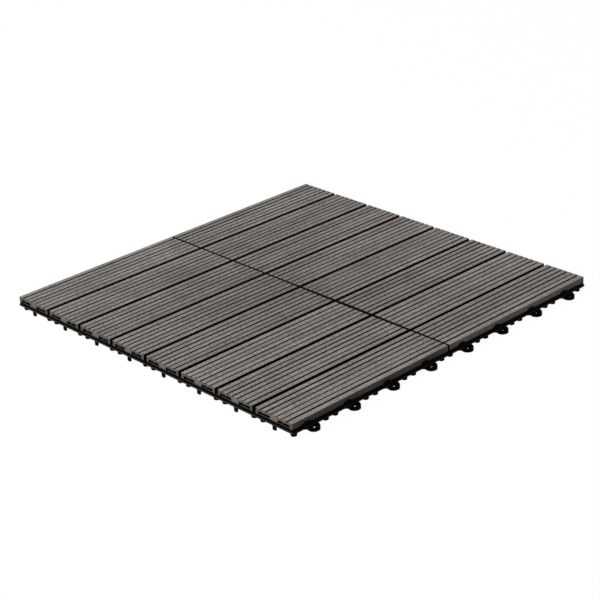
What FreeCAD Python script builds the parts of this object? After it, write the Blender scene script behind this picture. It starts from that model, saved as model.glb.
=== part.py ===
import FreeCAD, Part
import Sketcher
import math
import os
import re

# A square deck panel of four interlocked tiles. Each tile is one moulded base that carries four
# grooved slats, and each slat is held by two screws from below. The feet, pins and loops are
# moulded with their base and meet it face to face, in nodes of their own.
# The origin is the middle of the panel on the floor. The slats run along Y and +Z is up.

# Sizes in millimetres
SIZES = {
    "tile_side": (300, "one tile between its edge lines, loops left out"),
    "slat_gap": (5, "gap between two slats side by side"),
    "slat_end_gap": (2, "gap between two slats end to end"),
    "slat_thickness": (9, "slat, underside to ridge tops"),
    "groove_width": (2.2, "groove at the slat's top face"),
    "groove_floor": (1.0, "groove at its bottom"),
    "groove_depth": (1.3, "groove below the slat's top face"),
    "edge_leg": (5, "slat's outer leg beside a channel"),
    "centre_web": (14.4, "solid middle of a slat between its channels"),
    "channel_height": (5, "channel in the slat's underside"),
    "bead_width": (4, "bead along the channel's ceiling"),
    "bead_crown": (1.6, "flat lower face of the bead"),
    "bead_height": (1.2, "bead below the channel's ceiling"),
    "foot_height": (7, "floor to the underside of the base's frame"),
    "foot_radius": (4.4, "foot, middle to corner"),
    "foot_setback": (8.75, "foot's middle from the edges of its cell"),
    "rim_height": (6, "frame, underside to the face that carries the slats"),
    "rim_clearance": (0.4, "frame back from the tile's edge line"),
    "rim_wall": (3, "frame's upright wall"),
    "band_height": (3, "lower part of the wall, which stands proud"),
    "band_step": (0.6, "how far the band stands proud"),
    "flange_reach": (13.25, "edge line to the inner edge of the frame's flange"),
    "flange_thickness": (2.5, "frame's flange"),
    "cross_rib_width": (8, "rib across the slats"),
    "long_rib_width": (3, "rib under the gap between two slats"),
    "loop_radius": (9, "loop, outside"),
    "loop_hole_side": (10.4, "square hole of the loop"),
    "loop_setback": (1, "loop's middle inside the edge line"),
    "loop_lift": (1, "loop's underside above the floor"),
    "neck_length": (8, "loop's middle to the root of its neck"),
    "neck_root_width": (22, "neck at its root"),
    "pin_width": (5.6, "pin along the edge of the tile"),
    "pin_depth": (3, "pin across the edge of the tile"),
    "pin_lift": (0.8, "pin's tip above the floor"),
    "screw_radius": (1.7, "screw's shank"),
    "screw_head_radius": (3.5, "screw's head"),
    "screw_head_height": (2, "screw's head below the rib"),
    "screw_length": (11.5, "screw under its head"),
}

# How many of each
SLATS_PER_TILE = 4
GROOVES_PER_SLAT = 6
CROSS_RIBS = 4
FOOT_SIDES = 8
LOOP_SIDES = 16
SCREW_SIDES = 6

# The tiles of the panel, with the side of the origin that each lies on
TILES = (
    ("front_left", -1, -1),
    ("front_right", 1, -1),
    ("back_left", -1, 1),
    ("back_right", 1, 1),
)

# Spans and heights that several pieces share
CELL = f"(tile_side / {SLATS_PER_TILE})"
RIB_PITCH = f"(tile_side / {CROSS_RIBS + 1})"
SLAT_WIDTH = f"({CELL} - slat_gap)"
GROOVE_PITCH = f"({SLAT_WIDTH} / {GROOVES_PER_SLAT + 1})"
DECK_LEVEL = "(foot_height + rim_height)"
RIM_FACE = "(tile_side / 2 - rim_clearance)"
WALL_SPAN = "(tile_side - 2 * (rim_clearance + rim_wall))"
LOOP_MIDDLE = "(tile_side / 2 - loop_setback)"
SCREW_ROW = f"({(CROSS_RIBS - 1) / 2} * {RIB_PITCH})"

CELL_ROW = [f"({i - (SLATS_PER_TILE - 1) / 2} * {CELL})" for i in range(SLATS_PER_TILE)]
GAP_ROW = [f"({i - SLATS_PER_TILE / 2} * {CELL})" for i in range(1, SLATS_PER_TILE)]
RIB_ROW = [f"({i - (CROSS_RIBS - 1) / 2} * {RIB_PITCH})" for i in range(CROSS_RIBS)]
FOOT_ROW = [f"({x} {sign} ({CELL} / 2 - foot_setback))" for x in CELL_ROW for sign in "-+"]


def sized(text):
    """Turns the size names in an expression into references to the spreadsheet."""
    return re.sub(r"[a-z_]+", lambda m: f"Sizes.{m[0]}" if m[0] in SIZES else m[0], text)


def bind(obj, **expressions):
    """Binds properties of an object, with a double underscore for the dot in their names."""
    for name, text in expressions.items():
        obj.setExpression(name.replace("__", "."), sized(text))
    return obj


def place(obj, x, y, z):
    return bind(obj, Placement__Base__x=x, Placement__Base__y=y, Placement__Base__z=z)


def make_sheet(doc):
    sheet = doc.addObject("Spreadsheet::Sheet", "Sizes")
    for row, (alias, (value, note)) in enumerate(SIZES.items(), start=1):
        sheet.set(f"A{row}", alias)
        sheet.set(f"B{row}", str(value))
        sheet.set(f"C{row}", note)
        sheet.setAlias(f"B{row}", alias)
    doc.recompute()


# Plain solids


def block(doc, name, x, y, z, length, width, height):
    """A box with its middle at x and y and its underside at z."""
    box = bind(doc.addObject("Part::Box", name), Length=length, Width=width, Height=height)
    return place(box, f"{x} - {length} / 2", f"{y} - {width} / 2", z)


def stub(doc, name, sides, radius, x, y, z, height):
    """An upright peg with flat sides."""
    peg = bind(doc.addObject("Part::Prism", name), Circumradius=radius, Height=height)
    peg.Polygon = sides
    return place(peg, x, y, z)


def fuse(doc, name, shapes):
    joined = doc.addObject("Part::MultiFuse", name)
    joined.Shapes = shapes
    joined.Refine = True
    return joined


def cut(doc, name, base, tool):
    pierced = doc.addObject("Part::Cut", name)
    pierced.Base = base
    pierced.Tool = tool
    pierced.Refine = True
    return pierced


def group(doc, label, pieces):
    """Pieces that stay separate solids under one label."""
    together = doc.addObject("Part::Compound", label)
    together.Label = label
    together.Links = pieces
    return together


def copy_of(doc, label, original, x, y, turn=0):
    """A like piece in its own place, turned about Z by some degrees."""
    twin = group(doc, label, [original])
    twin.Placement.Rotation = FreeCAD.Rotation(FreeCAD.Vector(0, 0, 1), turn)
    return place(twin, x, y, "0")


# Slats


def origin_plane(body, role):
    return next(feature for feature in body.Origin.OriginFeatures if feature.Role == role)


def outline(body, name, role, corners):
    """A closed outline on an origin plane. Each corner is held by an x and a y expression."""
    sketch = body.newObject("Sketcher::SketchObject", name)
    sketch.AttachmentSupport = [(origin_plane(body, role), "")]
    sketch.MapMode = "FlatFace"
    count = len(corners)
    ring = [
        FreeCAD.Vector(math.cos(math.tau * i / count), math.sin(math.tau * i / count), 0)
        for i in range(count)
    ]
    for i in range(count):
        sketch.addGeometry(Part.LineSegment(ring[i], ring[(i + 1) % count]), False)
    for i in range(count):
        sketch.addConstraint(Sketcher.Constraint("Coincident", i, 2, (i + 1) % count, 1))
    for i, (x, y) in enumerate(corners):
        across = sketch.addConstraint(Sketcher.Constraint("DistanceX", -1, 1, i, 1, ring[i].x))
        sketch.setExpression(f"Constraints[{across}]", sized(x))
        up = sketch.addConstraint(Sketcher.Constraint("DistanceY", -1, 1, i, 1, ring[i].y))
        sketch.setExpression(f"Constraints[{up}]", sized(y))
    return sketch


def pocket(body, name, profile):
    feature = body.newObject("PartDesign::Pocket", name)
    feature.Profile = profile
    feature.SideType = "Symmetric"
    feature.Type = "ThroughAll"
    return feature


def mirrored(body, name, original, role):
    mirror = body.newObject("PartDesign::Mirrored", name)
    mirror.Originals = [original]
    mirror.MirrorPlane = (origin_plane(body, role), [""])
    body.Tip = mirror
    return mirror


def make_slat(doc):
    """One extruded slat: grooved on top, with two channels below and pilot holes for its screws."""
    body = doc.addObject("PartDesign::Body", "slat")
    half = f"{SLAT_WIDTH} / 2"

    blank = body.newObject("PartDesign::Pad", "blank")
    blank.Profile = outline(
        body,
        "slat_section",
        "XZ_Plane",
        [
            (f"-{half}", "0"),
            (half, "0"),
            (half, "slat_thickness"),
            (f"-{half}", "slat_thickness"),
        ],
    )
    blank.SideType = "Symmetric"
    bind(blank, Length="tile_side - slat_end_gap")

    first = f"({GROOVE_PITCH} - {half})"
    groove = pocket(
        body,
        "groove",
        outline(
            body,
            "groove_section",
            "XZ_Plane",
            [
                (f"{first} - groove_width / 2", "slat_thickness"),
                (f"{first} - groove_floor / 2", "slat_thickness - groove_depth"),
                (f"{first} + groove_floor / 2", "slat_thickness - groove_depth"),
                (f"{first} + groove_width / 2", "slat_thickness"),
            ],
        ),
    )
    grooves = body.newObject("PartDesign::LinearPattern", "grooves")
    grooves.Originals = [groove]
    grooves.Direction = (origin_plane(body, "X_Axis"), [""])
    grooves.Mode = "Spacing"
    bind(grooves, Offset=GROOVE_PITCH)
    grooves.Occurrences = GROOVES_PER_SLAT
    body.Tip = grooves

    outer = f"(edge_leg - {half})"
    inner = "(-centre_web / 2)"
    bead = f"({outer} + {inner}) / 2"
    channel = pocket(
        body,
        "channel",
        outline(
            body,
            "channel_section",
            "XZ_Plane",
            [
                (outer, "0"),
                (outer, "channel_height"),
                (f"{bead} - bead_width / 2", "channel_height"),
                (f"{bead} - bead_crown / 2", "channel_height - bead_height"),
                (f"{bead} + bead_crown / 2", "channel_height - bead_height"),
                (f"{bead} + bead_width / 2", "channel_height"),
                (inner, "channel_height"),
                (inner, "0"),
            ],
        ),
    )
    mirrored(body, "channels", channel, "YZ_Plane")

    pilot = body.newObject("PartDesign::Pocket", "pilot")
    turns = [360 * i // SCREW_SIDES for i in range(SCREW_SIDES)]
    pilot.Profile = outline(
        body,
        "pilot_section",
        "XY_Plane",
        [(f"screw_radius * cos({a})", f"{SCREW_ROW} + screw_radius * sin({a})") for a in turns],
    )
    pilot.Reversed = True
    bind(pilot, Length="screw_length - rim_height")
    mirrored(body, "pilots", pilot, "XZ_Plane")
    return place(body, "0", "0", DECK_LEVEL)


# Bases


def make_frame(doc):
    """The frame of a base: an upright wall with a proud band, on a flat flange."""
    outer = f"(2 * {RIM_FACE})"
    band = block(doc, "band", "0", "0", "foot_height", outer, outer, "band_height")
    upper = f"({outer} - 2 * band_step)"
    wall = block(doc, "wall", "0", "0", "foot_height", upper, upper, "rim_height")
    well_floor = "(foot_height + flange_thickness)"
    well_depth = "(rim_height - flange_thickness)"
    well = block(doc, "well", "0", "0", well_floor, WALL_SPAN, WALL_SPAN, well_depth)
    clear = "(tile_side - 2 * flange_reach)"
    mouth = block(doc, "mouth", "0", "0", "foot_height", clear, clear, "rim_height")
    solid = fuse(doc, "slab", [band, wall])
    return cut(doc, "frame", solid, fuse(doc, "inside", [well, mouth]))


def make_ribs(doc):
    """Ribs that carry the slats: some across them and one under each gap."""
    across = [
        block(doc, f"cross_rib_{i}", "0", y, "foot_height", WALL_SPAN, "cross_rib_width", "rim_height")
        for i, y in enumerate(RIB_ROW)
    ]
    along = [
        block(doc, f"long_rib_{i}", x, "0", "foot_height", "long_rib_width", WALL_SPAN, "rim_height")
        for i, x in enumerate(GAP_ROW)
    ]
    return across + along


def make_feet(doc):
    """Feet in pairs under the flange, and some under the crossings of the inner ribs."""
    low = "(foot_setback - tile_side / 2)"
    high = "(tile_side / 2 - foot_setback)"
    spots = [(x, y) for y in (low, high) for x in FOOT_ROW]
    spots += [(x, y) for x in (low, high) for y in FOOT_ROW[1:-1]]
    spots += [(x, y) for x in GAP_ROW for y in RIB_ROW[1:-1]]
    feet = [
        stub(doc, f"foot_{i}", FOOT_SIDES, "foot_radius", x, y, "0", "foot_height")
        for i, (x, y) in enumerate(spots)
    ]
    return group(doc, "feet", feet)


def make_pins(doc):
    """Pins under the frame on the left and front sides. Each drops into a loop of the next tile."""
    middle = f"(pin_depth / 2 - {RIM_FACE})"
    length = "(foot_height - pin_lift)"
    left = [
        block(doc, f"left_pin_{i}", middle, y, "pin_lift", "pin_depth", "pin_width", length)
        for i, y in enumerate(CELL_ROW)
    ]
    front = [
        block(doc, f"front_pin_{i}", x, middle, "pin_lift", "pin_width", "pin_depth", length)
        for i, x in enumerate(CELL_ROW)
    ]
    return group(doc, "pins", left + front)


def make_loop(doc):
    """One loop with its middle over the origin, its neck towards -Y and a square hole for a pin."""
    height = "(foot_height - loop_lift)"
    ring = stub(doc, "ring", LOOP_SIDES, "loop_radius", "0", "0", "loop_lift", height)
    neck = doc.addObject("Part::Wedge", "neck")
    neck.Ymin = 0
    neck.Zmin = 0
    neck.Z2min = 0
    bind(
        neck,
        Ymax="neck_length",
        Zmax=height,
        Z2max=height,
        Xmin="-neck_root_width / 2",
        Xmax="neck_root_width / 2",
        X2min="-loop_radius",
        X2max="loop_radius",
    )
    place(neck, "0", "-neck_length", "loop_lift")
    side = "loop_hole_side"
    hole = block(doc, "loop_hole", "0", "0", "loop_lift", side, side, height)
    return cut(doc, "loop", fuse(doc, "loop_blank", [ring, neck]), hole)


def make_loops(doc):
    """Loops under the frame on the right and back sides."""
    loop = make_loop(doc)
    right = [
        copy_of(doc, f"right_loop_{i}", loop, LOOP_MIDDLE, y, turn=-90)
        for i, y in enumerate(CELL_ROW)
    ]
    back = [copy_of(doc, f"back_loop_{i}", loop, x, LOOP_MIDDLE) for i, x in enumerate(CELL_ROW)]
    return group(doc, "loops", right + back)


def make_base(doc):
    """The frame of one base with its ribs and screw holes."""
    holes = []
    for i, across in enumerate(CELL_ROW):
        for end, row in (("front", f"(-{SCREW_ROW})"), ("back", SCREW_ROW)):
            name = f"{end}_screw_hole_{i}"
            holes.append(
                stub(doc, name, SCREW_SIDES, "screw_radius", across, row, "foot_height", "rim_height")
            )
    moulding = fuse(doc, "moulding", [make_frame(doc)] + make_ribs(doc))
    return cut(doc, "base", moulding, group(doc, "screw_holes", holes))


# Screws


def make_screw(doc, name, x, y):
    """One screw, head down under its rib."""
    head_bottom = "(foot_height - screw_head_height)"
    head = stub(
        doc, f"{name}_head", SCREW_SIDES, "screw_head_radius", x, y, head_bottom, "screw_head_height"
    )
    shank = stub(doc, f"{name}_shank", SCREW_SIDES, "screw_radius", x, y, "foot_height", "screw_length")
    return fuse(doc, name, [head, shank])


def make_screws(doc, label):
    """All the screws of the panel: two for each slat."""
    screws = []
    for tile, side_x, side_y in TILES:
        for across in CELL_ROW:
            for row in (f"(-{SCREW_ROW})", SCREW_ROW):
                x = f"{side_x} * tile_side / 2 + {across}"
                y = f"{side_y} * tile_side / 2 + {row}"
                screws.append(make_screw(doc, f"screw_{tile}_{len(screws)}", x, y))
    return group(doc, label, screws)


def make_panel(doc):
    """The four tiles, each with a like moulding and like slats, and the screws."""
    moulding = {
        "base": make_base(doc),
        "feet": make_feet(doc),
        "pins": make_pins(doc),
        "loops": make_loops(doc),
    }
    slat = make_slat(doc)
    nodes = []
    for tile, side_x, side_y in TILES:
        x = f"{side_x} * tile_side / 2"
        y = f"{side_y} * tile_side / 2"
        for kind, original in moulding.items():
            nodes.append(copy_of(doc, f"{kind}_{tile}", original, x, y))
        for number, across in enumerate(CELL_ROW, start=1):
            nodes.append(copy_of(doc, f"slat_{tile}_{number}", slat, f"{x} + {across}", y))
    nodes.append(make_screws(doc, "screws"))
    return nodes


def check(doc, nodes):
    for obj in doc.Objects:
        if "Invalid" in obj.State or "Error" in obj.State:
            raise RuntimeError(f"{obj.Name} failed: {obj.State}")
    for node in nodes:
        if node.Shape.isNull() or not node.Shape.isValid():
            raise RuntimeError(f"{node.Label} has no valid shape")


def main():
    doc = FreeCAD.newDocument("deck_panel")
    make_sheet(doc)
    nodes = make_panel(doc)
    doc.recompute()
    check(doc, nodes)
    os.makedirs("parts", exist_ok=True)
    for node in nodes:
        node.Shape.exportStep(f"parts/{node.Label}.step")
        print(node.Label, len(node.Shape.Solids), "solids", round(node.Shape.Volume), "mm3")


main()
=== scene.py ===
import bmesh
import bpy
import math
from mathutils import Matrix, Vector


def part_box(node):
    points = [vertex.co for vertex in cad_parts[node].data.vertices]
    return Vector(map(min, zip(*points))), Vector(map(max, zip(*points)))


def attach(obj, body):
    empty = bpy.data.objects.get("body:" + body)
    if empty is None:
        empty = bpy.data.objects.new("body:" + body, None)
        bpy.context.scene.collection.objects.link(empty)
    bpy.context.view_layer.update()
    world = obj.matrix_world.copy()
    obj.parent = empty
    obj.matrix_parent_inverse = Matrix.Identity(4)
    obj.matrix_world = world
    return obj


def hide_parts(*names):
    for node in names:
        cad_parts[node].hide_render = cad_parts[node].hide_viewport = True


# A square deck panel of four interlocked tiles: grooved composite slats on black moulded bases.
# Sizes are in metres. The origin is the middle of the panel on the floor, and the slats run along Y.

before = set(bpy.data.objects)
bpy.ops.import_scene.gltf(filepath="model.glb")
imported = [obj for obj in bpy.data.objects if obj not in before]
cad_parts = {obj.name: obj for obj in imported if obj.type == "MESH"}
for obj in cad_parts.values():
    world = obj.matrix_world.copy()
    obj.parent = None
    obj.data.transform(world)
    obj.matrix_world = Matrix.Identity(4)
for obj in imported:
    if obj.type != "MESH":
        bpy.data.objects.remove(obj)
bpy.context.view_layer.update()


def middleOf(nodeName):
    low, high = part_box(nodeName)
    return (low + high) / 2


def nodesOf(kind):
    return [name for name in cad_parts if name.startswith(kind + "_")]


slatLow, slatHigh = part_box("slat_front_left_1")
deckLevel = slatLow.z  # the ribs and the frame carry the slats here
topLevel = slatHigh.z
cellPitch = middleOf("slat_front_left_2").x - middleOf("slat_front_left_1").x
tileSide = middleOf("slat_back_left_1").y - middleOf("slat_front_left_1").y
cells = round(tileSide / cellPitch)
print("frame loaded: cells of", round(cellPitch, 4), "in tiles of", round(tileSide, 4))


# Nodes

def addNode(tree, kind, sockets=None, **settings):
    made = tree.nodes.new(kind)
    for name, value in settings.items():
        setattr(made, name, value)
    for name, value in (sockets or {}).items():
        feed(tree, made.inputs[name], value)
    return made


def feed(tree, socket, value):
    if isinstance(value, bpy.types.NodeSocket):
        tree.links.new(value, socket)
    else:
        socket.default_value = value


def calc(tree, operation, first, second=None, third=None):
    made = tree.nodes.new("ShaderNodeMath")
    made.operation = operation
    for socket, value in zip(made.inputs, (first, second, third)):
        if value is not None:
            feed(tree, socket, value)
    return made.outputs[0]


def product(tree, result, *others):
    for other in others:
        result = calc(tree, "MULTIPLY", result, other)
    return result


def ramp(tree, value, fromLow, fromHigh, toLow=0.0, toHigh=1.0):
    made = addNode(tree, "ShaderNodeMapRange", {"Value": value})
    made.inputs["From Min"].default_value = fromLow
    made.inputs["From Max"].default_value = fromHigh
    made.inputs["To Min"].default_value = toLow
    made.inputs["To Max"].default_value = toHigh
    return made.outputs["Result"]


def mixColour(tree, factor, first, second):
    made = tree.nodes.new("ShaderNodeMix")
    made.data_type = "RGBA"
    feed(tree, made.inputs[0], factor)
    feed(tree, made.inputs[6], first)
    feed(tree, made.inputs[7], second)
    return made.outputs[2]


def tone(red, green, blue):
    # a colour as a screen shows it, turned into scene light
    def light(level):
        level /= 255
        return level / 12.92 if level <= 0.04045 else ((level + 0.055) / 1.055) ** 2.4
    return (light(red), light(green), light(blue), 1.0)


def noise(tree, vector, scale, detail=2.0, roughness=0.5):
    made = addNode(tree, "ShaderNodeTexNoise", {"Vector": vector, "Scale": scale})
    made.inputs["Detail"].default_value = detail
    made.inputs["Roughness"].default_value = roughness
    return made.outputs["Fac"]


def randomFrom(tree, number):
    return addNode(tree, "ShaderNodeTexWhiteNoise", {"W": number}, noise_dimensions="1D").outputs["Value"]


def stretched(tree, coordinates, grainSize, turn=0.0):
    made = addNode(tree, "ShaderNodeMapping", {"Vector": coordinates}, vector_type="TEXTURE")
    made.inputs["Scale"].default_value = grainSize
    made.inputs["Rotation"].default_value = (0, 0, turn)
    return made.outputs["Vector"]


def newMaterial(name):
    material = bpy.data.materials.new(name)
    material.use_nodes = True
    tree = material.node_tree
    shader = tree.nodes["Principled BSDF"]
    coordinates = tree.nodes.new("ShaderNodeTexCoord").outputs["Object"]
    return material, tree, shader, coordinates


def addBump(tree, shader, height, strength, distance):
    made = addNode(tree, "ShaderNodeBump", {"Height": height})
    made.inputs["Strength"].default_value = strength
    made.inputs["Distance"].default_value = distance
    tree.links.new(made.outputs["Normal"], shader.inputs["Normal"])


# Finishes

compositeFinish = {
    "warm": tone(137, 132, 127),
    "cool": tone(129, 125, 121),
    "endCut": tone(114, 107, 101),
    # a painted highlight on the ridges near the slat ends, and how far in it reaches
    "endHighlight": tone(165, 146, 128),
    "endHighlightDepth": 0.004,
    # near black: dirt and painted shade in the grooves, painted shade towards the frame, and the darkening over the
    # channels
    "dirtAndShade": tone(12, 11, 9),
    "gapShade": tone(2, 2, 2),
    "gapEdge": 0.001,
    "seamEdge": 0.0012,
    "seamWidestAt": 0.11,
    "seamFade": 0.17,
    "grooveEdge": 0.0017,
    # darker in a wide patch round the panel's middle, lighter towards its edges
    "darkPatchMiddle": (0.0, -0.02, 0.022),
    "darkPatchReach": 0.3,
    "darkPatchLevels": (0.85, 1.11),
    "sideLevels": (0.74, 1.45),
    "sideChange": 0.03,
    "fleck": tone(170, 163, 155),
    "roughness": 0.72,
}


def makeComposite():
    finish = compositeFinish
    material, tree, shader, coordinates = newMaterial("brushedComposite")
    place = addNode(tree, "ShaderNodeSeparateXYZ", {"Vector": coordinates})
    x, y, z = place.outputs[:3]
    slatHalf = (slatHigh - slatLow) / 2
    ridgePitch = 2 * slatHalf.x / (slat["grooves"] + 1)

    # where a point lies in its own slat
    column = calc(tree, "FLOOR", calc(tree, "DIVIDE", x, cellPitch))
    row = calc(tree, "FLOOR", calc(tree, "DIVIDE", y, tileSide))
    slatNumber = calc(tree, "MULTIPLY_ADD", row, 17.0, column)
    across = calc(tree, "SUBTRACT", x, product(tree, calc(tree, "ADD", column, 0.5), cellPitch))
    along = calc(tree, "SUBTRACT", y, product(tree, calc(tree, "ADD", row, 0.5), tileSide))
    fromSide = calc(tree, "SUBTRACT", slatHalf.x, calc(tree, "ABSOLUTE", across))
    fromEnd = calc(tree, "SUBTRACT", slatHalf.y, calc(tree, "ABSOLUTE", along))
    ridgeNumber = calc(tree, "ROUND", calc(tree, "DIVIDE", across, ridgePitch))
    grooveNumber = calc(tree, "FLOOR", calc(tree, "DIVIDE", across, ridgePitch))

    # each slat and ridge has its own shade, with long streaks from the extruder
    slatShade = randomFrom(tree, slatNumber)
    ridgeShade = randomFrom(tree, calc(tree, "MULTIPLY_ADD", slatNumber, 9.7, ridgeNumber))
    streak = noise(tree, stretched(tree, coordinates, (0.0024, 0.11, 0.0024)), 1.0, 3.0, 0.6)
    body = mixColour(tree, streak, finish["cool"], finish["warm"])

    # brushing: short slanted scratches, a mottle of wood flour and wide clouds
    brushed = noise(tree, stretched(tree, coordinates, (0.007, 0.0018, 0.0018), math.radians(-20)), 1.0, 2.0, 0.6)
    mottle = noise(tree, coordinates, 220.0, 4.0, 0.6)
    cloud = noise(tree, coordinates, 17.0, 2.0)
    grain = calc(tree, "ADD", product(tree, brushed, 0.6), product(tree, mottle, 0.4))
    atSide = calc(tree, "LESS_THAN", fromSide, 0.0002)
    # the outer side on the right edge, darker on the near tile and lighter on the far one
    atRight = product(tree, atSide, calc(tree, "GREATER_THAN", x, tileSide - cellPitch / 2))
    rightShade = ramp(tree, y, -finish["sideChange"], finish["sideChange"], *finish["sideLevels"])
    # darker in a wide patch round the panel's middle, lighter towards its edges
    fromDarkPatch = addNode(tree, "ShaderNodeVectorMath", {0: coordinates, 1: finish["darkPatchMiddle"]})
    fromDarkPatch.operation = "DISTANCE"
    level = product(
        tree,
        ramp(tree, fromDarkPatch.outputs["Value"], 0.0, finish["darkPatchReach"], *finish["darkPatchLevels"]),
        calc(tree, "MULTIPLY_ADD", atRight, calc(tree, "SUBTRACT", rightShade, 1.0), 1.0),
        ramp(tree, grain, 0.3, 0.7, 0.48, 1.5),
        ramp(tree, cloud, 0.3, 0.7, 0.86, 1.13),
        ramp(tree, ridgeShade, 0.0, 1.0, 0.88, 1.11),
        ramp(tree, slatShade, 0.0, 1.0, 0.95, 1.05),
    )
    shaded = addNode(tree, "ShaderNodeVectorMath", {0: body, 1: level}, operation="MULTIPLY").outputs[0]

    # light flecks of wood
    fleckField = noise(tree, stretched(tree, coordinates, (0.0011, 0.0025, 0.0011), math.radians(20)), 1.0, 1.0)
    flecked = mixColour(tree, ramp(tree, fleckField, 0.69, 0.76, 0.0, 0.45), shaded, finish["fleck"])

    # a painted highlight on the ridges near their ends, and sawn ends, darker over the channels and, with painted
    # shade, towards the frame
    # painted highlight on the tops near the ends, patchy with the mottle
    highlightShare = product(tree, ramp(tree, fromEnd, 0.0, finish["endHighlightDepth"], 0.6, 0.0), ramp(tree, mottle, 0.4, 0.6))
    lightened = mixColour(tree, highlightShare, flecked, finish["endHighlight"])
    atEnd = calc(tree, "LESS_THAN", fromEnd, 0.0002)
    sawn = mixColour(tree, product(tree, atEnd, 0.85), lightened, finish["endCut"])
    web = slat["centreWeb"] / 2
    overChannel = ramp(tree, calc(tree, "ABSOLUTE", across), web - 0.001, web + 0.001, 0.0, 0.35)
    # painted shade towards the frame, on the sawn ends and on the slats' sides
    frameShadow = ramp(tree, z, deckLevel, deckLevel + 0.003, 0.93, 0.0)
    endShade = product(tree, atEnd, calc(tree, "MAXIMUM", overChannel, frameShadow))
    sideShade = product(tree, atSide, frameShadow, 0.64)
    faces = mixColour(tree, calc(tree, "MAXIMUM", endShade, sideShade), sawn, finish["dirtAndShade"])

    # painted shade on the channels' ceilings and walls, dark near their mouths
    ceiling = deckLevel + slat["channelHeight"] + 0.0001
    mouth = deckLevel + 0.0004
    channelShade = product(
        tree,
        calc(tree, "COMPARE", z, (mouth + ceiling) / 2, (ceiling - mouth) / 2),
        calc(tree, "GREATER_THAN", fromSide, 0.001),
        calc(tree, "GREATER_THAN", fromEnd, 0.0002),
        ramp(tree, fromEnd, 0.0, 0.025, 0.95, 0.0),
    )
    channelled = mixColour(tree, channelShade, faces, finish["gapShade"])

    # dirt and painted shade in the grooves, in some more than in others and more or less along their length
    grooveShade = randomFrom(tree, calc(tree, "MULTIPLY_ADD", slatNumber, 5.3, grooveNumber))
    ownDarkness = ramp(tree, grooveShade, 0.0, 1.0, 0.75, 1.25)
    alongDarkness = noise(tree, stretched(tree, coordinates, (0.01, 0.15, 1.0)), 1.0, 1.0)
    fromGroove = calc(tree, "SUBTRACT", ridgePitch / 2, calc(tree, "PINGPONG", across, ridgePitch / 2))
    intoGroove = calc(tree, "DIVIDE", fromGroove, ownDarkness)
    # the grooves' dirt and painted shade
    dirtAndShade = product(
        tree,
        ramp(tree, intoGroove, finish["grooveEdge"] * 0.6, finish["grooveEdge"], 1.0, 0.0),
        calc(tree, "GREATER_THAN", fromSide, ridgePitch / 2),
        calc(tree, "GREATER_THAN", fromEnd, 0.0002),
        ownDarkness,
        ramp(tree, alongDarkness, 0.35, 0.6, 0.8, 1.15),
    )
    aboveChannels = calc(tree, "GREATER_THAN", z, ceiling)
    grooved = mixColour(tree, product(tree, dirtAndShade, aboveChannels), channelled, finish["dirtAndShade"])

    # painted shade between the slats, side by side and end to end, with their edges
    inPanel = calc(tree, "LESS_THAN", calc(tree, "ABSOLUTE", x), tileSide - cellPitch / 2)
    atSeam = calc(tree, "LESS_THAN", calc(tree, "ABSOLUTE", y), tileSide / 2)
    gapUneven = ramp(tree, slatShade, 0.0, 1.0, 1.5, 0.6)
    fromWidest = calc(tree, "ABSOLUTE", calc(tree, "SUBTRACT", x, finish["seamWidestAt"]))
    seamUneven = ramp(tree, fromWidest, 0.0, finish["seamFade"], 2.6, 0.9)
    intoTop = calc(tree, "DIVIDE", fromSide, gapUneven)
    intoEnd = calc(tree, "DIVIDE", fromEnd, seamUneven)
    besideGap = product(tree, inPanel, ramp(tree, intoTop, finish["gapEdge"] * 0.75, finish["gapEdge"], 1.0, 0.0))
    besideSeam = product(tree, atSeam, ramp(tree, intoEnd, finish["seamEdge"] * 0.75, finish["seamEdge"], 1.0, 0.0))
    coloured = mixColour(tree, calc(tree, "MAXIMUM", besideGap, besideSeam), grooved, finish["gapShade"])

    tree.links.new(coloured, shader.inputs["Base Color"])
    rough = ramp(tree, grain, 0.3, 0.7, finish["roughness"] + 0.1, finish["roughness"] - 0.08)
    tree.links.new(rough, shader.inputs["Roughness"])
    shader.inputs["Specular IOR Level"].default_value = 0.07
    addBump(tree, shader, grain, 0.5, 0.00025)
    return material


plasticFinish = {
    "body": tone(4, 4, 4),
    "scuffed": tone(9, 9, 8),
    "band": tone(53, 54, 52),
    # a painted grey sheen on the frame's open top face
    "rimTopSheen": tone(86, 86, 88),
    "rimEdge": 0.0022,
    "rimDepth": 0.0035,
    "roughness": 0.5,
}


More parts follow.
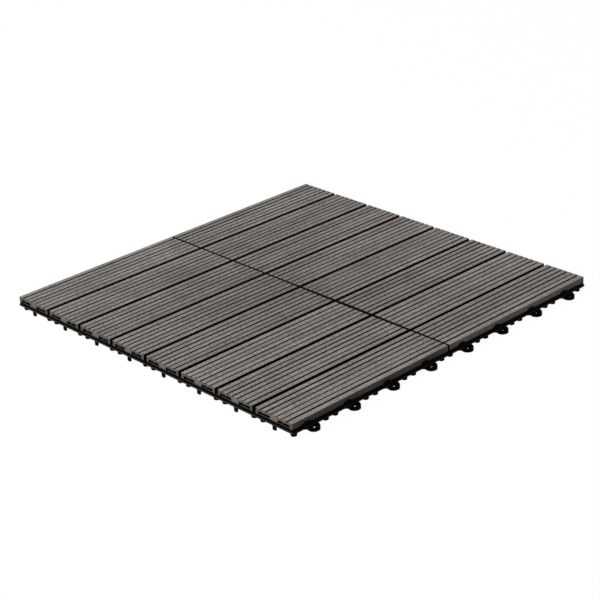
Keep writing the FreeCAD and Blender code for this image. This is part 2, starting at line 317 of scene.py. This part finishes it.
def makePlastic():
    finish = plasticFinish
    material, tree, shader, coordinates = newMaterial("blackMoulding")
    place = addNode(tree, "ShaderNodeSeparateXYZ", {"Vector": coordinates})
    x, y, z = place.outputs[:3]

    # the frame's top face is bare where the slats leave it open, and there it carries a painted grey sheen
    def fromTileMiddle(value):
        inTile = calc(tree, "PINGPONG", value, tileSide)
        return calc(tree, "ABSOLUTE", calc(tree, "SUBTRACT", inTile, tileSide / 2))

    reach = calc(tree, "MAXIMUM", fromTileMiddle(x), fromTileMiddle(y))
    fromEdge = calc(tree, "SUBTRACT", tileSide / 2, reach)
    onRimSheen = product(
        tree,
        calc(tree, "LESS_THAN", fromEdge, finish["rimDepth"]),
        calc(tree, "GREATER_THAN", fromEdge, finish["rimEdge"]),
        ramp(tree, z, deckLevel - 0.0004, deckLevel - 0.0001),
    )
    cloud = noise(tree, coordinates, 90.0, 3.0)
    lightened = mixColour(tree, ramp(tree, cloud, 0.4, 0.7), finish["body"], finish["scuffed"])
    rimmed = mixColour(tree, onRimSheen, lightened, finish["rimTopSheen"])
    halfBand = base["bandHeight"] / 2
    onBand = product(
        tree,
        calc(tree, "COMPARE", z, base["footHeight"] + halfBand, halfBand - 0.0003),
        calc(tree, "LESS_THAN", fromEdge, finish["rimEdge"]),
    )
    coloured = mixColour(tree, onBand, rimmed, finish["band"])

    grain = noise(tree, coordinates, 2200.0, 2.0)
    tree.links.new(coloured, shader.inputs["Base Color"])
    tree.links.new(ramp(tree, cloud, 0.3, 0.7, finish["roughness"] - 0.06, finish["roughness"] + 0.08), shader.inputs["Roughness"])
    shader.inputs["Specular IOR Level"].default_value = 0.015
    addBump(tree, shader, grain, 0.3, 0.00006)
    return material


def makeZinc():
    material, tree, shader, coordinates = newMaterial("zincPlate")
    brushed = noise(tree, stretched(tree, coordinates, (0.0004, 0.002, 0.0004)), 1.0, 2.0)
    shade = mixColour(tree, ramp(tree, brushed, 0.3, 0.7), tone(150, 150, 152), tone(190, 190, 192))
    tree.links.new(shade, shader.inputs["Base Color"])
    tree.links.new(ramp(tree, brushed, 0.3, 0.7, 0.28, 0.42), shader.inputs["Roughness"])
    shader.inputs["Metallic"].default_value = 1.0
    addBump(tree, shader, brushed, 0.2, 0.00004)
    return material


# Layout: copies a piece over one tile, turns the set onto the sides asked for, and repeats the tile

layoutInputs = [
    ("Piece", "NodeSocketGeometry", None),
    ("Pair Spread", "NodeSocketFloat", 0.0),
    ("In Pairs", "NodeSocketInt", 1),
    ("Columns", "NodeSocketInt", 1),
    ("Rows", "NodeSocketInt", 1),
    ("Column Pitch", "NodeSocketFloat", 0.0),
    ("Row Pitch", "NodeSocketFloat", 0.0),
    ("Setback", "NodeSocketFloat", 0.0),
    ("On Back", "NodeSocketBool", True),
    ("On Left", "NodeSocketBool", False),
    ("On Front", "NodeSocketBool", False),
    ("On Right", "NodeSocketBool", False),
    ("Tiles Across", "NodeSocketInt", 2),
    ("Tile Side", "NodeSocketFloat", 0.3),
    ("Finish", "NodeSocketMaterial", None),
]


def makeLayout():
    tree = bpy.data.node_groups.new("deckLayout", "GeometryNodeTree")
    for name, kind, start in layoutInputs:
        socket = tree.interface.new_socket(name=name, in_out="INPUT", socket_type=kind)
        if start is not None:
            socket.default_value = start
    tree.interface.new_socket(name="Panel", in_out="OUTPUT", socket_type="NodeSocketGeometry")
    given = tree.nodes.new("NodeGroupInput").outputs
    result = tree.nodes.new("NodeGroupOutput")

    def span(count, pitch):
        return calc(tree, "MULTIPLY", calc(tree, "SUBTRACT", count, 1.0), pitch)

    def spread(piece, across, along, pitchAcross, pitchAlong):
        grid = addNode(tree, "GeometryNodeMeshGrid", {
            "Size X": span(across, pitchAcross),
            "Size Y": span(along, pitchAlong),
            "Vertices X": across,
            "Vertices Y": along,
        })
        copies = addNode(tree, "GeometryNodeInstanceOnPoints", {"Points": grid.outputs["Mesh"], "Instance": piece})
        return copies.outputs["Instances"]

    paired = spread(given["Piece"], given["In Pairs"], 1, given["Pair Spread"], 0.0)
    row = spread(paired, given["Columns"], given["Rows"], given["Column Pitch"], given["Row Pitch"])
    offset = addNode(tree, "ShaderNodeCombineXYZ", {"Y": given["Setback"]})
    moved = addNode(tree, "GeometryNodeTransform", {"Geometry": row, "Translation": offset.outputs[0]})
    sides = tree.nodes.new("GeometryNodeJoinGeometry")
    for quarter, side in enumerate(("On Back", "On Left", "On Front", "On Right")):
        turned = addNode(tree, "GeometryNodeTransform", {
            "Geometry": moved.outputs[0],
            "Rotation": (0, 0, quarter * math.pi / 2),
        })
        chosen = addNode(tree, "GeometryNodeSwitch", {"Switch": given[side], "True": turned.outputs[0]}, input_type="GEOMETRY")
        tree.links.new(chosen.outputs[0], sides.inputs[0])
    panel = spread(sides.outputs[0], given["Tiles Across"], given["Tiles Across"], given["Tile Side"], given["Tile Side"])
    real = addNode(tree, "GeometryNodeRealizeInstances", {"Geometry": panel})
    finished = addNode(tree, "GeometryNodeSetMaterial", {"Geometry": real.outputs[0], "Material": given["Finish"]})
    tree.links.new(finished.outputs[0], result.inputs[0])
    return tree


layout = makeLayout()
layoutSockets = {item.name: item.identifier for item in layout.interface.items_tree if item.in_out == "INPUT"}


def layOut(name, mesh, finish, **choices):
    piece = bpy.data.objects.new(name, mesh)
    bpy.context.scene.collection.objects.link(piece)
    modifier = piece.modifiers.new("layout", "NODES")
    modifier.node_group = layout
    chosen = {"Tile Side": tileSide, "Finish": finish}
    chosen.update({key.replace("_", " "): value for key, value in choices.items()})
    for key, value in chosen.items():
        modifier[layoutSockets[key]] = value
    evaluated = piece.evaluated_get(bpy.context.evaluated_depsgraph_get())
    finished = bpy.data.meshes.new_from_object(evaluated)
    piece.modifiers.remove(modifier)
    piece.data = finished
    finished.shade_smooth()
    finished.set_sharp_from_angle(angle=math.radians(38))
    print(name, "laid out:", len(finished.polygons), "faces")
    return piece


# Shapes

def softened(corners, steps=3):
    # an outline of (x, y, rounding) corners, each corner eased over its rounding
    points = []
    for i, (x, y, rounding) in enumerate(corners):
        here = Vector((x, y))
        before = Vector(corners[i - 1][:2]) - here
        after = Vector(corners[(i + 1) % len(corners)][:2]) - here
        reach = min(rounding, 0.45 * before.length, 0.45 * after.length)
        start = here + before.normalized() * reach
        end = here + after.normalized() * reach
        for step in range(steps + 1):
            t = step / steps
            points.append(start * (1 - t) ** 2 + here * 2 * t * (1 - t) + end * t ** 2)
    return points


def meshFrom(name, rings, closedAround=False, capped=True):
    # skins a list of rings that all have as many points
    work = bmesh.new()
    rows = [[work.verts.new(point) for point in ring] for ring in rings]
    pairs = list(zip(rows, rows[1:]))
    if closedAround:
        pairs.append((rows[-1], rows[0]))
    for lower, upper in pairs:
        for i in range(len(lower)):
            j = (i + 1) % len(lower)
            work.faces.new((lower[i], lower[j], upper[j], upper[i]))
    if capped and not closedAround:
        work.faces.new(rows[0])
        work.faces.new(rows[-1])
    bmesh.ops.remove_doubles(work, verts=work.verts, dist=1e-6)
    bmesh.ops.recalc_face_normals(work, faces=work.faces)
    mesh = bpy.data.meshes.new(name)
    work.to_mesh(mesh)
    work.free()
    return mesh


def extruded(name, outline, length):
    half = length / 2
    return meshFrom(name, [[(p.x, y, p.y) for p in outline] for y in (-half, half)])


def turned(name, profile, sides):
    # a (radius, height) profile turned about Z
    rings = []
    for radius, height in profile:
        angles = [math.tau * i / sides for i in range(sides)]
        rings.append([(radius * math.cos(a), radius * math.sin(a), height) for a in angles])
    return meshFrom(name, rings)


# Slats

slat = {
    "grooves": 6,
    "grooveWidth": 0.0022,
    "grooveFloor": 0.0010,
    "grooveDepth": 0.0013,
    "edgeLeg": 0.005,
    "centreWeb": 0.0144,
    "channelHeight": 0.0055,
    "beadWidth": 0.0036,
    "beadCrown": 0.0016,
    "beadHeight": 0.0010,
    "topRounding": 0.0006,
    "ridgeRounding": 0.0004,
    "rounding": 0.0003,
}


def slatSection():
    half = (slatHigh.x - slatLow.x) / 2
    floor = topLevel - slat["grooveDepth"]
    pitch = 2 * half / (slat["grooves"] + 1)
    soft, ridge = slat["rounding"], slat["ridgeRounding"]
    corners = [(-half, deckLevel, soft), (-half, topLevel, slat["topRounding"])]
    for i in range(slat["grooves"]):
        middle = (i + 1) * pitch - half
        corners += [
            (middle - slat["grooveWidth"] / 2, topLevel, ridge),
            (middle - slat["grooveFloor"] / 2, floor, soft),
            (middle + slat["grooveFloor"] / 2, floor, soft),
            (middle + slat["grooveWidth"] / 2, topLevel, ridge),
        ]
    corners += [(half, topLevel, slat["topRounding"]), (half, deckLevel, soft)]
    ceiling = deckLevel + slat["channelHeight"]
    outer = half - slat["edgeLeg"]
    inner = slat["centreWeb"] / 2
    bead = (outer + inner) / 2
    for side in (1, -1):
        channel = [
            (outer, deckLevel, soft),
            (outer, ceiling, soft),
            (bead + slat["beadWidth"] / 2, ceiling, soft),
            (bead + slat["beadCrown"] / 2, ceiling - slat["beadHeight"], soft),
            (bead - slat["beadCrown"] / 2, ceiling - slat["beadHeight"], soft),
            (bead - slat["beadWidth"] / 2, ceiling, soft),
            (inner, ceiling, soft),
            (inner, deckLevel, soft),
        ]
        if side < 0:
            channel = [(-x, z, rounding) for x, z, rounding in reversed(channel)]
        corners += channel
    return softened(corners)


composite = makeComposite()
slats = layOut(
    "slats",
    extruded("slat", slatSection(), slatHigh.y - slatLow.y),
    composite,
    Columns=cells,
    Column_Pitch=cellPitch,
)
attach(slats, "root")
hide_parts(*nodesOf("slat"))


# Bases

base = {
    "footHeight": 0.007,
    "rimClearance": 0.0004,
    "rimWall": 0.0032,
    "bandHeight": 0.003,
    "bandStep": 0.0014,
    "flangeReach": 0.01325,
    "flangeThickness": 0.0025,
    "cornerRounding": 0.0015,
    "crossRibs": 4,
    "crossRibWidth": 0.008,
    "longRibWidth": 0.003,
    "rounding": 0.0004,
}
rimFace = tileSide / 2 - base["rimClearance"]
wallInside = rimFace - base["rimWall"]
ribPitch = tileSide / (base["crossRibs"] + 1)


def makeFrame():
    # the frame's section, as distances from the tile's middle, carried round the square
    low = base["footHeight"]
    bandTop = low + base["bandHeight"]
    wallFace = rimFace - base["bandStep"]
    flangeTop = low + base["flangeThickness"]
    flangeEdge = tileSide / 2 - base["flangeReach"]
    soft = base["rounding"]
    section = softened([
        (rimFace, low, soft),
        (rimFace, bandTop, soft),
        (wallFace, bandTop, 0.0002),
        (wallFace, deckLevel, soft),
        (wallInside, deckLevel, soft),
        (wallInside, flangeTop, soft),
        (flangeEdge, flangeTop, soft),
        (flangeEdge, low, soft),
    ])
    rings = []
    for point in section:
        bend = max(base["cornerRounding"] - (rimFace - point.x), 0.0)
        ring = []
        for quarter in range(4):
            for step in range(5):
                angle = (quarter + step / 4) * math.pi / 2
                diagonal = (quarter + 0.5) * math.pi / 2
                cornerX = math.copysign(point.x - bend, math.cos(diagonal))
                cornerY = math.copysign(point.x - bend, math.sin(diagonal))
                ring.append((cornerX + bend * math.cos(angle), cornerY + bend * math.sin(angle), point.y))
        rings.append(ring)
    return meshFrom("frame", rings, closedAround=True)


def makeRib(name, width):
    half = width / 2
    soft = base["rounding"]
    low = base["footHeight"]
    outline = softened([(-half, low, soft), (half, low, soft), (half, deckLevel, soft), (-half, deckLevel, soft)])
    return extruded(name, outline, 2 * wallInside)


plastic = makePlastic()
frames = layOut("frames", makeFrame(), plastic)
crossRib = makeRib("crossRib", base["crossRibWidth"])
crossRib.transform(Matrix.Rotation(math.pi / 2, 4, "Z"))
crossRibs = layOut("crossRibs", crossRib, plastic, Rows=base["crossRibs"], Row_Pitch=ribPitch)
longRibs = layOut("longRibs", makeRib("longRib", base["longRibWidth"]), plastic, Columns=cells - 1, Column_Pitch=cellPitch)

foot = {
    "radius": 0.0047,
    "tipRadius": 0.0045,
    "tipRounding": 0.001,
    "setback": 0.00875,
    "sides": 20,
}


def makeFoot():
    tip, easing = foot["tipRadius"], foot["tipRounding"]
    profile = [(tip - easing, 0.0)]
    for step in range(1, 4):
        angle = step / 3 * math.pi / 2
        profile.append((tip - easing + easing * math.sin(angle), easing * (1 - math.cos(angle))))
    profile.append((foot["radius"], base["footHeight"] + 0.0005))
    return turned("foot", profile, foot["sides"])


footMesh = makeFoot()
footRow = tileSide / 2 - foot["setback"]
feet = [
    layOut("endFeet", footMesh.copy(), plastic, In_Pairs=2, Pair_Spread=cellPitch - 2 * foot["setback"],
           Columns=cells, Column_Pitch=cellPitch, Setback=footRow, On_Front=True),
    layOut("sideFeet", footMesh.copy(), plastic, In_Pairs=2, Pair_Spread=2 * foot["setback"],
           Columns=cells - 1, Column_Pitch=cellPitch, Setback=footRow, On_Back=False, On_Left=True, On_Right=True),
    layOut("innerFeet", footMesh, plastic, Columns=cells - 1, Column_Pitch=cellPitch, Rows=2, Row_Pitch=ribPitch),
]

pin = {
    "width": 0.006,
    "depth": 0.003,
    "lift": 0.0004,
    "taper": 0.0003,
    "taperHeight": 0.0006,
    "corner": 0.0006,
}


def makePin():
    rings = []
    inset = ((pin["taper"], 0.0), (0.0, pin["taperHeight"]), (0.0, base["footHeight"] - pin["lift"] + 0.0005))
    for narrowing, height in inset:
        halfWidth = pin["width"] / 2 - narrowing
        halfDepth = pin["depth"] / 2 - narrowing
        corner = pin["corner"]
        outline = softened([
            (-halfWidth, -halfDepth, corner),
            (halfWidth, -halfDepth, corner),
            (halfWidth, halfDepth, corner),
            (-halfWidth, halfDepth, corner),
        ])
        rings.append([(p.x, p.y, pin["lift"] + height) for p in outline])
    return meshFrom("pin", rings)


pins = layOut("pins", makePin(), plastic, Columns=cells, Column_Pitch=cellPitch,
              Setback=rimFace - pin["depth"] / 2, On_Back=False, On_Left=True, On_Front=True)

loop = {
    "radius": 0.0086,
    "holeSide": 0.0099,
    "holeCorner": 0.0010,
    "setback": 0.001,
    "lift": 0.0005,
    "tipDrop": 0.0005,
    "neckLength": 0.008,
    "neckWaist": 0.0150,
    "neckRootWidth": 0.021,
    "edgeRounding": 0.0005,
    "holeRounding": 0.0003,
}


def loopOutline():
    # an open ring away from the tile, then a neck that flares to its root in a hollow curve
    radius, waist, root = loop["radius"], loop["neckWaist"] / 2, loop["neckRootWidth"] / 2
    past = math.acos(waist / radius)
    meet = radius * math.sin(past)
    ring = []
    for step in range(49):
        angle = -past + (math.pi + 2 * past) * step / 48
        ring.append(Vector((radius * math.cos(angle), radius * math.sin(angle))))
    neck = []
    for step in range(1, 7):
        share = step / 6
        halfWidth = waist + (root - waist) * share ** 2
        neck.append(Vector((-halfWidth, -meet - (loop["neckLength"] - meet) * share)))
    return ring + neck + [Vector((-point.x, point.y)) for point in reversed(neck)]


def holeReach(towards):
    # from the loop's middle to its square hole with eased corners
    across, along = sorted((abs(towards.x), abs(towards.y)))
    half, corner = loop["holeSide"] / 2, loop["holeCorner"]
    if across / along * half <= half - corner:
        return half / along
    toCorner = (half - corner) * (across + along)
    return toCorner + math.sqrt(toCorner ** 2 - 2 * (half - corner) ** 2 + corner ** 2)


def makeLoop():
    outline = loopOutline()
    rings = []

    def addEdge(outside, atTop, angles):
        # the rounding of one edge; the top falls a little outside the tile
        easing = loop["edgeRounding"] if outside else loop["holeRounding"]
        for angle in angles:
            inset = easing * (1 - math.sin(math.radians(angle)))
            drop = easing * (1 - math.cos(math.radians(angle)))
            ring = []
            for point in outline:
                towards = point.normalized()
                spot = towards * (point.length - inset if outside else holeReach(towards) + inset)
                fall = loop["tipDrop"] * min(max((spot.y - 0.001) / 0.003, 0.0), 1.0)
                height = base["footHeight"] - fall - drop if atTop else loop["lift"] + drop
                ring.append((spot.x, spot.y, height))
            rings.append(ring)

    outwards, inwards = (0, 30, 60, 90), (90, 60, 30, 0)
    addEdge(True, False, outwards)
    addEdge(True, True, inwards)
    addEdge(False, True, outwards)
    addEdge(False, False, inwards)
    return meshFrom("loop", rings, closedAround=True)


loops = layOut("loops", makeLoop(), plastic, Columns=cells, Column_Pitch=cellPitch,
               Setback=tileSide / 2 - loop["setback"], On_Right=True)

tab = {
    "halfWidth": 0.0071,
    "height": 0.0038,
    "thickness": 0.0015,
    "setback": 0.0014,
    "besideLoop": 0.0109,
    "edgeRounding": 0.0003,
}


def makeTab():
    # stands on the band beside a loop, round at its top, and holds the outer slat
    low = base["footHeight"] + base["bandHeight"] - 0.0002
    half, easing = tab["thickness"] / 2, tab["edgeRounding"]
    arch = [math.pi * step / 16 for step in range(17)]
    rings = []
    for depth, inset in ((-half, easing), (easing - half, 0.0), (half - easing, 0.0), (half, easing)):
        halfWidth, height = tab["halfWidth"] - inset, tab["height"] - inset
        outline = [(halfWidth * math.cos(angle), deckLevel + height * math.sin(angle)) for angle in arch]
        outline += [(-halfWidth, low), (halfWidth, low)]
        rings.append([(tab["besideLoop"] + x, depth, z) for x, z in outline])
    return meshFrom("tab", rings)


tabs = layOut("tabs", makeTab(), plastic, Columns=cells, Column_Pitch=cellPitch,
              Setback=tileSide / 2 - tab["setback"], On_Back=False, On_Right=True)

basePieces = [frames, crossRibs, longRibs, *feet, pins, loops, tabs]
for piece in basePieces:
    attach(piece, "root")
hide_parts(*nodesOf("base"))
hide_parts(*nodesOf("feet"))
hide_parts(*nodesOf("pins"))
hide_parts(*nodesOf("loops"))


# Screws

screw = {
    "headRadius": 0.0035,
    "headHeight": 0.002,
    "recessWidth": 0.0009,
    "recessLength": 0.0038,
    "recessDepth": 0.0011,
    "rowPitch": 3 * ribPitch,
    "sides": 32,
}


def makeScrew():
    # a pan head, flat side up against the rib, with a cross recess
    top = base["footHeight"]
    radius, height = screw["headRadius"], screw["headHeight"]
    profile = [(radius * 0.97, top)]
    for step in range(7):
        angle = step / 6 * math.pi / 2
        profile.append((radius * math.cos(angle) ** 0.7 if step < 6 else 0.0004, top - 0.0004 - (height - 0.0004) * math.sin(angle)))
    head = bpy.data.objects.new("screwHead", turned("screwHead", profile, screw["sides"]))
    bpy.context.scene.collection.objects.link(head)
    work = bmesh.new()
    for turn in (0.0, math.pi / 2):
        size = Matrix.Diagonal((screw["recessLength"], screw["recessWidth"], 2 * screw["recessDepth"], 1.0))
        place = Matrix.Translation((0, 0, top - height)) @ Matrix.Rotation(turn, 4, "Z") @ size
        bmesh.ops.create_cube(work, size=1.0, matrix=place)
    cutterMesh = bpy.data.meshes.new("crossRecess")
    work.to_mesh(cutterMesh)
    work.free()
    cutter = bpy.data.objects.new("crossRecess", cutterMesh)
    bpy.context.scene.collection.objects.link(cutter)
    cut = head.modifiers.new("recess", "BOOLEAN")
    cut.object = cutter
    cut.operation = "DIFFERENCE"
    cut.use_self = True
    mesh = bpy.data.meshes.new_from_object(head.evaluated_get(bpy.context.evaluated_depsgraph_get()))
    bpy.data.objects.remove(head)
    bpy.data.objects.remove(cutter)
    return mesh


zinc = makeZinc()
screws = layOut("screwHeads", makeScrew(), zinc, Columns=cells, Column_Pitch=cellPitch, Rows=2, Row_Pitch=screw["rowPitch"])
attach(screws, "root")
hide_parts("screws")


# Studio

studio = {
    "background": 1.0,
    "ambient": 0.07,
    "floorGrey": 0.3,
    "shadowShare": 0.03,
    "shadowInset": 0.012,
    "shadowEasing": 0.012,
    "keyPower": 1710.0,
    "keySize": 5.4,
    "keyDistance": 12.0,
    "keyDirection": Vector((-0.45, -0.85, 1.0)),
}


def seenDirectly(tree):
    # one for the camera, for reflections and through glass, and nought for light on the object
    path = tree.nodes.new("ShaderNodeLightPath")
    seen = calc(tree, "MAXIMUM", path.outputs["Is Camera Ray"], path.outputs["Is Glossy Ray"])
    return calc(tree, "MAXIMUM", seen, path.outputs["Is Transmission Ray"])


def makeFloor():
    mesh = bpy.data.meshes.new("floor")
    reach = 6.0
    mesh.from_pydata([(-reach, -reach, 0), (reach, -reach, 0), (reach, reach, 0), (-reach, reach, 0)], [], [(0, 1, 2, 3)])
    floor = bpy.data.objects.new("floor", mesh)
    bpy.context.scene.collection.objects.link(floor)
    material = bpy.data.materials.new("paleFloor")
    material.use_nodes = True
    tree = material.node_tree
    tree.nodes.remove(tree.nodes["Principled BSDF"])

    # white in the open, and under the panel a plain grey that takes its full shadow
    coordinates = tree.nodes.new("ShaderNodeTexCoord").outputs["Object"]
    place = addNode(tree, "ShaderNodeSeparateXYZ", {"Vector": coordinates})
    x, y = place.outputs[:2]
    fromMiddle = calc(tree, "MAXIMUM", calc(tree, "ABSOLUTE", x), calc(tree, "ABSOLUTE", y))
    shadeEdge = tileSide - studio["shadowInset"]
    openFloor = ramp(tree, fromMiddle, shadeEdge - studio["shadowEasing"], shadeEdge)
    white = product(tree, openFloor, seenDirectly(tree))
    grey = (studio["floorGrey"],) * 3 + (1.0,)
    shadow = addNode(tree, "ShaderNodeBsdfDiffuse", {"Color": mixColour(tree, white, grey, (1, 1, 1, 1))})
    glow = addNode(tree, "ShaderNodeEmission", {"Color": (1, 1, 1, 1), "Strength": studio["background"]})
    both = addNode(tree, "ShaderNodeMixShader", {0: calc(tree, "MULTIPLY", white, 1 - studio["shadowShare"])})
    tree.links.new(shadow.outputs[0], both.inputs[1])
    tree.links.new(glow.outputs[0], both.inputs[2])

    # from below the floor is clear, so that the underside can be looked at
    below = tree.nodes.new("ShaderNodeNewGeometry").outputs["Backfacing"]
    clear = tree.nodes.new("ShaderNodeBsdfTransparent")
    whole = addNode(tree, "ShaderNodeMixShader", {0: below})
    tree.links.new(both.outputs[0], whole.inputs[1])
    tree.links.new(clear.outputs[0], whole.inputs[2])
    tree.links.new(whole.outputs[0], tree.nodes["Material Output"].inputs["Surface"])
    mesh.materials.append(material)


def makeWorld():
    world = bpy.data.worlds.new("studio")
    bpy.context.scene.world = world
    world.use_nodes = True
    tree = world.node_tree
    ambient = (studio["ambient"],) * 3 + (1.0,)
    colour = mixColour(tree, seenDirectly(tree), ambient, (studio["background"],) * 3 + (1.0,))
    tree.links.new(colour, tree.nodes["Background"].inputs["Color"])


def makeKey():
    lamp = bpy.data.lights.new("keyLight", "AREA")
    lamp.energy = studio["keyPower"]
    lamp.size = studio["keySize"]
    key = bpy.data.objects.new("keyLight", lamp)
    bpy.context.scene.collection.objects.link(key)
    direction = studio["keyDirection"].normalized()
    key.location = direction * studio["keyDistance"]
    key.rotation_euler = direction.to_track_quat("Z", "Y").to_euler()


view = {
    "place": Vector((1.78224, -1.63661, 1.12852)),
    "right": Vector((0.69157, 0.72079, -0.04685)),
    "up": Vector((-0.27614, 0.32377, 0.90494)),
    "lens": 106.916,
    "sensor": 36.0,
    "shift": (-0.0009, 0.001),
}


def makeCamera():
    lens = bpy.data.cameras.new("camera")
    lens.lens = view["lens"]
    lens.sensor_width = view["sensor"]
    lens.shift_x, lens.shift_y = view["shift"]
    camera = bpy.data.objects.new("camera", lens)
    bpy.context.scene.collection.objects.link(camera)
    axes = Matrix((view["right"], view["up"], view["right"].cross(view["up"]))).transposed()
    camera.matrix_world = Matrix.Translation(view["place"]) @ axes.to_4x4()
    bpy.context.scene.camera = camera


makeFloor()
makeWorld()
makeKey()
makeCamera()
bpy.context.scene.view_settings.view_transform = "Standard"
print("studio set up")
